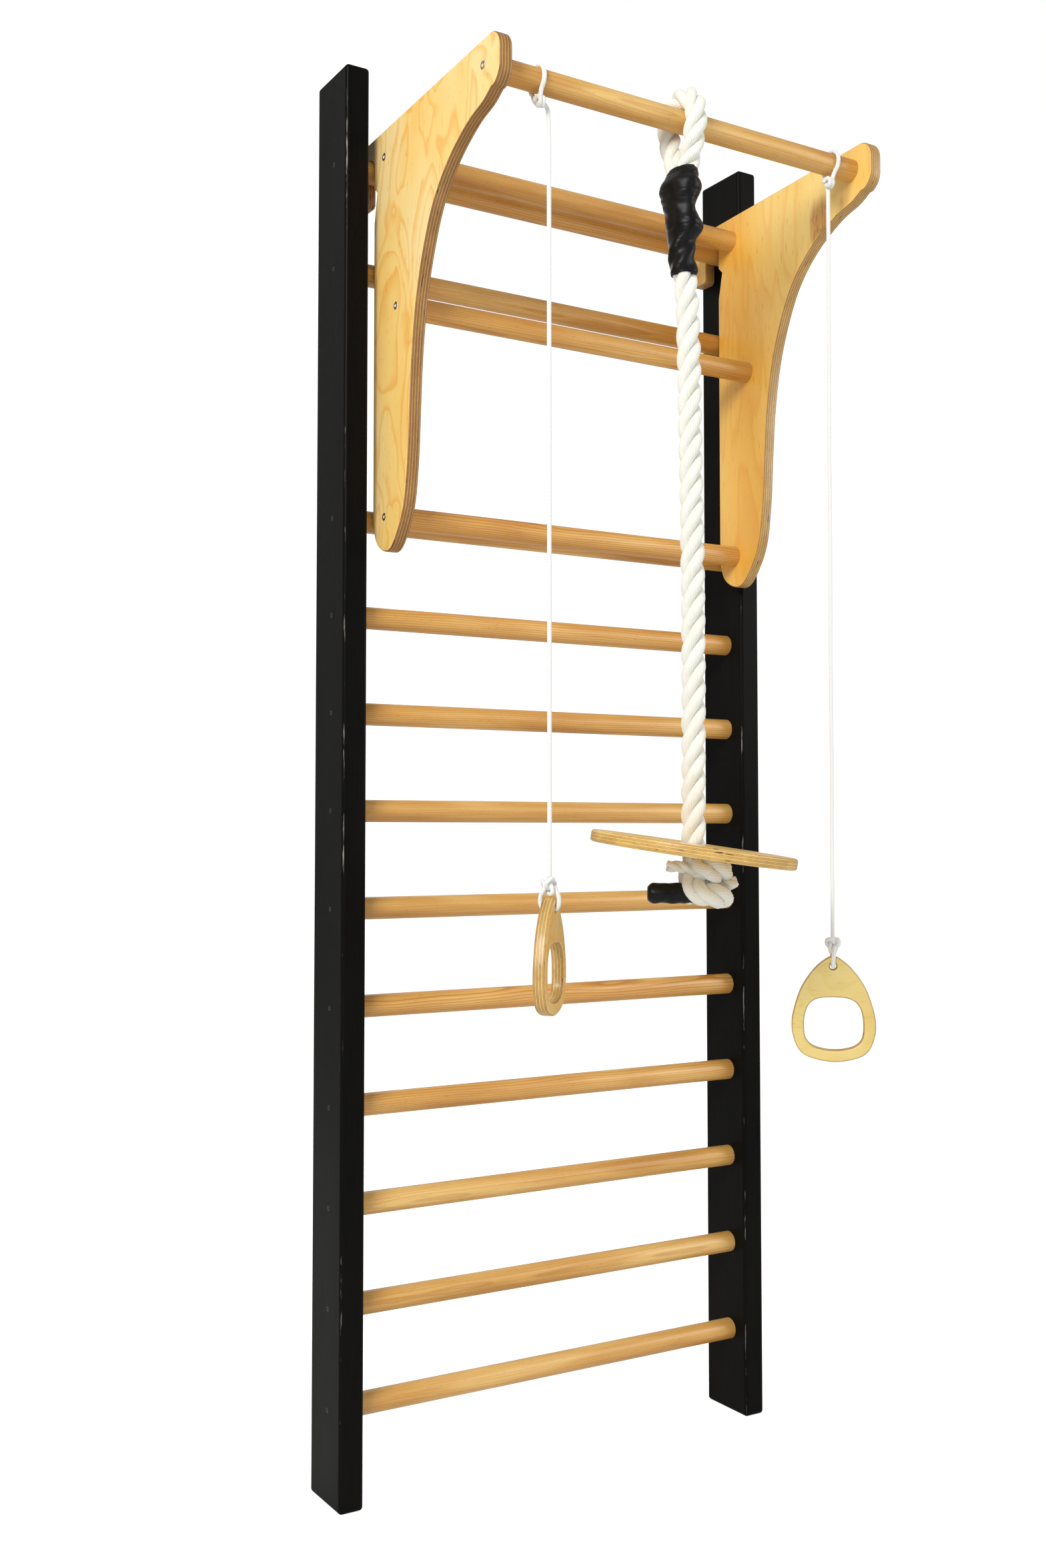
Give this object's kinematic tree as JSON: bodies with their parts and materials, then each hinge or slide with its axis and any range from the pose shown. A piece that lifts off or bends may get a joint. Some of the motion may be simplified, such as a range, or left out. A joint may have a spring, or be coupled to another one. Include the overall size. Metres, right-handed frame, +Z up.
{
  "type": "gymnastic wall bars",
  "caption": "Tall wall-mounted climbing ladder with round wooden rungs, a hook-on pull-up bar unit, a rope swing with a disc seat and two hanging hand grips.",
  "frame": {"origin": "on the wall, midway between the posts, at the height of their feet", "axes": "+Z up, +Y into the wall, +X to the right as seen from the front"},
  "size_m": [0.81, 0.5771, 2.2],
  "materials": {
    "black_satin_paint": "satin black paint on wood",
    "lacquered_beech": "clear satin lacquer",
    "birch_plywood": "clear satin lacquer, striped edges",
    "black_screws": "painted over",
    "zinc_screws": "bright zinc",
    "cotton_rope": "three-strand laid rope",
    "shrink_sleeve": "glossy wrinkled black sleeve",
    "braided_cord": "braided white cord"
  },
  "bodies": {
    "ladder": {"left_post": "black_satin_paint", "right_post": "black_satin_paint", "rung_01": "lacquered_beech", "rung_02": "lacquered_beech", "rung_03": "lacquered_beech", "rung_04": "lacquered_beech", "rung_05": "lacquered_beech", "rung_06": "lacquered_beech", "rung_07": "lacquered_beech", "rung_08": "lacquered_beech", "rung_09": "lacquered_beech", "rung_10": "lacquered_beech", "rung_11": "lacquered_beech", "rung_12": "lacquered_beech", "left_rung_screws": "black_screws", "right_rung_screws": "black_screws"},
    "pull_up_unit": {"left_side_panel": "birch_plywood", "right_side_panel": "birch_plywood", "pull_up_bar": "lacquered_beech", "upper_cross_bar": "lacquered_beech", "middle_cross_bar": "lacquered_beech", "lower_cross_bar": "lacquered_beech", "left_panel_screws": "zinc_screws", "right_panel_screws": "zinc_screws"},
    "rope": {"rope_eye": "cotton_rope", "rope_sleeve": "shrink_sleeve", "swing_rope": "cotton_rope"},
    "seat": {"rope_knot": "cotton_rope", "rope_tail_sleeve": "shrink_sleeve", "seat_disc": "birch_plywood"},
    "left_cord": {"left_cord": "braided_cord", "left_bar_knot": "braided_cord"},
    "left_loop": {"left_grip_knot": "braided_cord", "left_grip_loop": "braided_cord"},
    "left_grip": {"left_grip": "birch_plywood"},
    "right_cord": {"right_cord": "braided_cord", "right_bar_knot": "braided_cord"},
    "right_loop": {"right_grip_knot": "braided_cord", "right_grip_loop": "braided_cord"},
    "right_grip": {"right_grip": "birch_plywood"}
  },
  "joints": [
    {"name": "unit_lift", "type": "slide", "parent": "ladder", "child": "pull_up_unit", "axis": [0, 0, 1], "range_m": [0, 0.075]},
    {"name": "rope_swing", "type": "hinge", "parent": "pull_up_unit", "child": "rope", "pos_m": [0.0155, -0.4243, 2.077], "axis": [-1, 0, 0], "range_deg": [-9, 60]},
    {"name": "seat_twist", "type": "hinge", "parent": "rope", "child": "seat", "pos_m": [0.0155, -0.4243, 0.9865], "axis": [0, 0, 1], "range_deg": [-180, 180]},
    {"name": "left_cord_swing", "type": "hinge", "parent": "pull_up_unit", "child": "left_cord", "pos_m": [-0.2355, -0.4243, 2.077], "axis": [-1, 0, 0], "range_deg": [-10, 60]},
    {"name": "left_grip_turn", "type": "hinge", "parent": "left_cord", "child": "left_loop", "pos_m": [-0.2355, -0.4243, 0.946], "axis": [0, 0, 1], "range_deg": [-180, 180]},
    {"name": "left_grip_tilt", "type": "hinge", "parent": "left_loop", "child": "left_grip", "pos_m": [-0.2355, -0.4243, 0.906], "axis": [-0.6947, 0.7193, 0], "range_deg": [-25, 25]},
    {"name": "right_cord_swing", "type": "hinge", "parent": "pull_up_unit", "child": "right_cord", "pos_m": [0.2865, -0.4243, 2.077], "axis": [-1, 0, 0], "range_deg": [-10, 60]},
    {"name": "right_grip_turn", "type": "hinge", "parent": "right_cord", "child": "right_loop", "pos_m": [0.2865, -0.4243, 0.844], "axis": [0, 0, 1], "range_deg": [-180, 180]},
    {"name": "right_grip_tilt", "type": "hinge", "parent": "right_loop", "child": "right_grip", "pos_m": [0.2865, -0.4243, 0.804], "axis": [0.6428, 0.766, 0], "range_deg": [-25, 25]}
  ]
}
